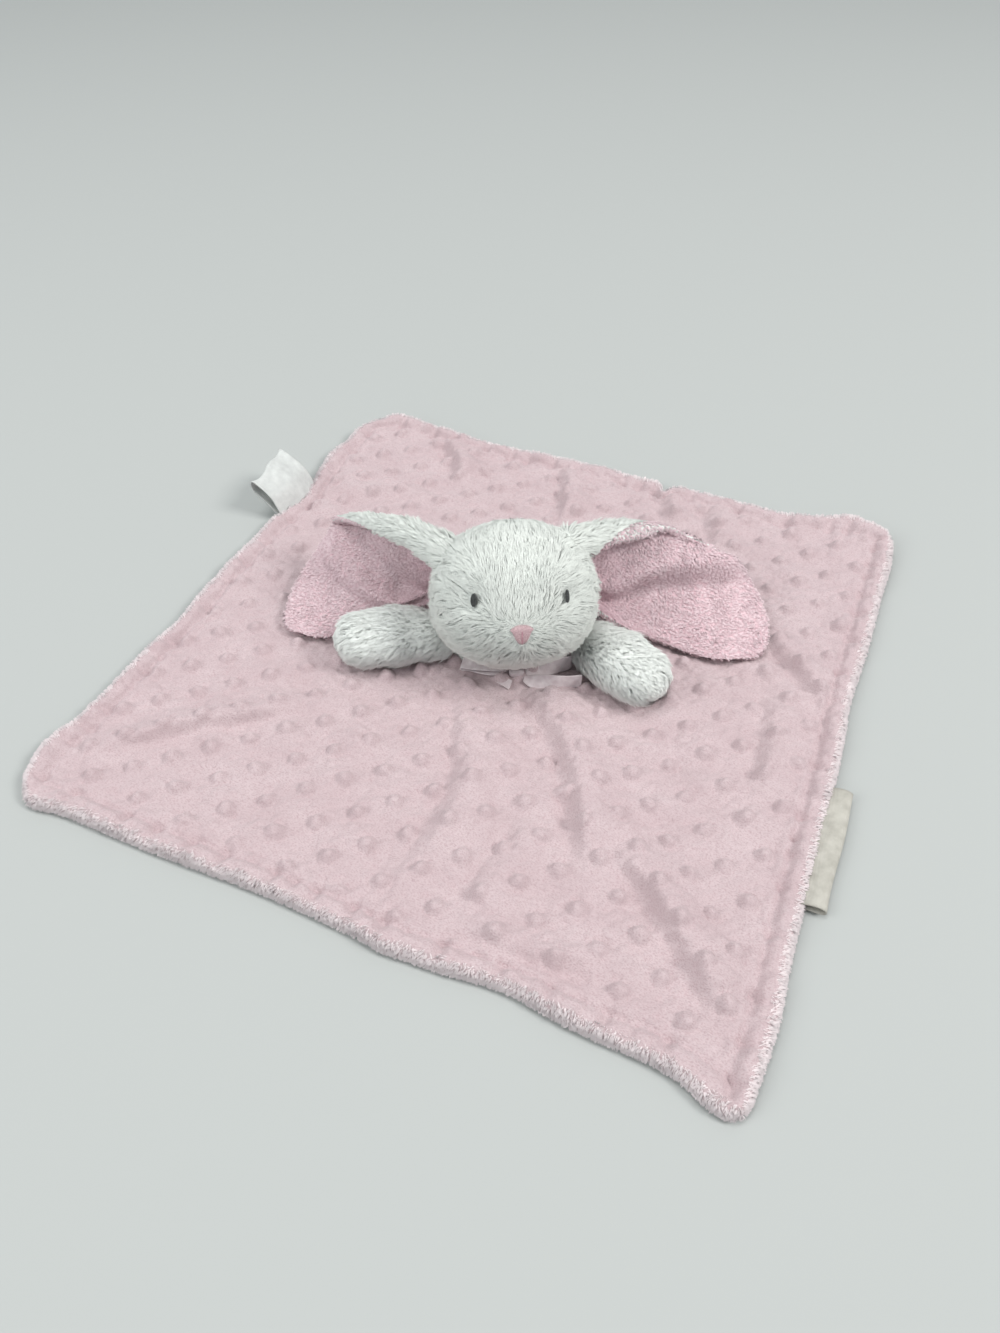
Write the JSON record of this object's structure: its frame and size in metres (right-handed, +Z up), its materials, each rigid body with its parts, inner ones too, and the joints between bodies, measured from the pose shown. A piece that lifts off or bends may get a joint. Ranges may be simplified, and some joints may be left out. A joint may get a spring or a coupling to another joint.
{
  "type": "comfort blanket lovey",
  "caption": "Square two-layer plush comfort blanket with a stuffed bunny head, folded ears, arms, a ribbon bow and sewn-in side labels.",
  "frame": {"origin": "on the plane the blanket lies on, under the bunny's neck, 2 mm right of and 2.5 mm in front of the middle of the cloth", "axes": "+Z up, out of the cloth; +X along the blanket's front edge to the right; +Y along its sides, away from the front edge"},
  "size_m": [0.3902, 0.3755, 0.0828],
  "materials": {
    "backing_plush": "short fluffy pile, pale pink white",
    "front_plush": "short-pile minky with raised dots, baby pink",
    "edge_thread": "spun sewing thread, pink",
    "white_plush": "dense short fur, cool white",
    "stuffing": "loose polyester fibre, white",
    "nose_thread": "satin-stitched embroidery thread, rose",
    "eye_thread": "satin-stitched embroidery thread, charcoal",
    "ear_velour": "soft velour, deeper pink",
    "ribbon_satin": "satin ribbon, greyish pink",
    "label_satin": "smooth satin tape, white",
    "label_weave": "woven tape, cream"
  },
  "bodies": {
    "blanket": {"blanket_backing": "backing_plush", "blanket_front": "front_plush", "edge_topstitch": "edge_thread", "neck_stuffing": "stuffing", "neck_yoke": "white_plush", "ribbon_band": "ribbon_satin", "bow_knot": "ribbon_satin", "bow_loop_left": "ribbon_satin", "bow_loop_right": "ribbon_satin", "bow_tail_left": "ribbon_satin", "bow_tail_right": "ribbon_satin"},
    "head": {"head_face_left": "white_plush", "head_face_right": "white_plush", "head_back": "white_plush", "head_stuffing": "stuffing", "nose": "nose_thread", "eye_left": "eye_thread", "eye_right": "eye_thread"},
    "ear_left": {"ear_left_outer": "white_plush", "ear_left_lining": "ear_velour"},
    "ear_right": {"ear_right_outer": "white_plush", "ear_right_lining": "ear_velour"},
    "arm_left": {"arm_left_plush": "white_plush", "arm_left_stuffing": "stuffing"},
    "arm_right": {"arm_right_plush": "white_plush", "arm_right_stuffing": "stuffing"},
    "care_label": {"care_label": "label_satin"},
    "name_label": {"name_label": "label_weave"}
  },
  "joints": [
    {"name": "head_nod", "type": "hinge", "parent": "blanket", "child": "head", "pos_m": [0.00424, -0.0006, 0.016], "axis": [0.9455, 0.3256, 0], "range_deg": [0, 15]},
    {"name": "ear_left_lift", "type": "hinge", "parent": "head", "child": "ear_left", "pos_m": [-0.036, 0.00652, 0.06962], "axis": [-0.1203, 0.9927, 0], "range_deg": [0, 40]},
    {"name": "ear_right_lift", "type": "hinge", "parent": "head", "child": "ear_right", "pos_m": [0.02157, 0.03445, 0.07112], "axis": [0.3401, -0.9404, 0], "range_deg": [0, 40]},
    {"name": "arm_left_swing", "type": "hinge", "parent": "blanket", "child": "arm_left", "pos_m": [-0.028, -0.005, 0.0045], "axis": [0, 0, 1], "range_deg": [0, 25]},
    {"name": "arm_right_swing", "type": "hinge", "parent": "blanket", "child": "arm_right", "pos_m": [0.031, 0.022, 0.0045], "axis": [0, 0, 1], "range_deg": [-8, 20]},
    {"name": "care_label_lift", "type": "hinge", "parent": "blanket", "child": "care_label", "pos_m": [-0.17576, 0.0725, 0.0022], "axis": [0, 1, 0], "range_deg": [0, 45]},
    {"name": "name_label_lift", "type": "hinge", "parent": "blanket", "child": "name_label", "pos_m": [0.178, -0.053, 0.0014], "axis": [0, -1, 0], "range_deg": [0, 35]}
  ]
}
